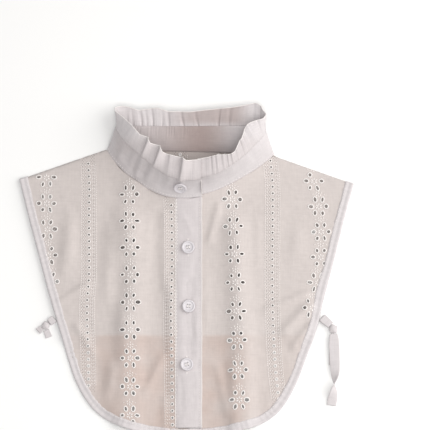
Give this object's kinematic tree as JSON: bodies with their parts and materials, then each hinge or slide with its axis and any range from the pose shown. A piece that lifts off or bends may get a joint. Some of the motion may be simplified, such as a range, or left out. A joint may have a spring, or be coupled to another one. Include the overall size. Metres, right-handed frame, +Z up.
{
  "type": "detachable collar",
  "caption": "Detachable eyelet-cotton dickey with a gathered stand collar, buttoned front placket and side ties, laid flat.",
  "frame": {"origin": "on the table, under the middle of the back neck edge of the back panel", "axes": "+X to the wearer's left, +Y from the hem up to the collar, +Z up off the table"},
  "size_m": [0.325, 0.3238, 0.037],
  "materials": {
    "eyelet_voile": "soft matt cotton voile with embroidered eyelets",
    "plain_cotton": "soft matt cotton",
    "button_resin": "satin white resin"
  },
  "bodies": {
    "root": {"back_panel": "eyelet_voile", "back_binding": "plain_cotton", "front_right_panel": "eyelet_voile", "front_right_binding": "plain_cotton", "front_placket": "plain_cotton", "front_left_panel": "eyelet_voile", "front_left_binding": "plain_cotton", "collar_band": "plain_cotton", "collar_ruffle": "eyelet_voile", "button_1": "button_resin", "button_2": "button_resin", "button_3": "button_resin", "button_4": "button_resin", "tie_left_front": "plain_cotton", "tie_left_back": "plain_cotton", "tie_left_knot": "plain_cotton", "tie_left_tail_over": "plain_cotton", "tie_left_tail_under": "plain_cotton", "tie_right_front": "plain_cotton", "tie_right_back": "plain_cotton", "tie_right_knot": "plain_cotton", "tie_right_tail_over": "plain_cotton", "tie_right_tail_under": "plain_cotton"}
  },
  "joints": []
}
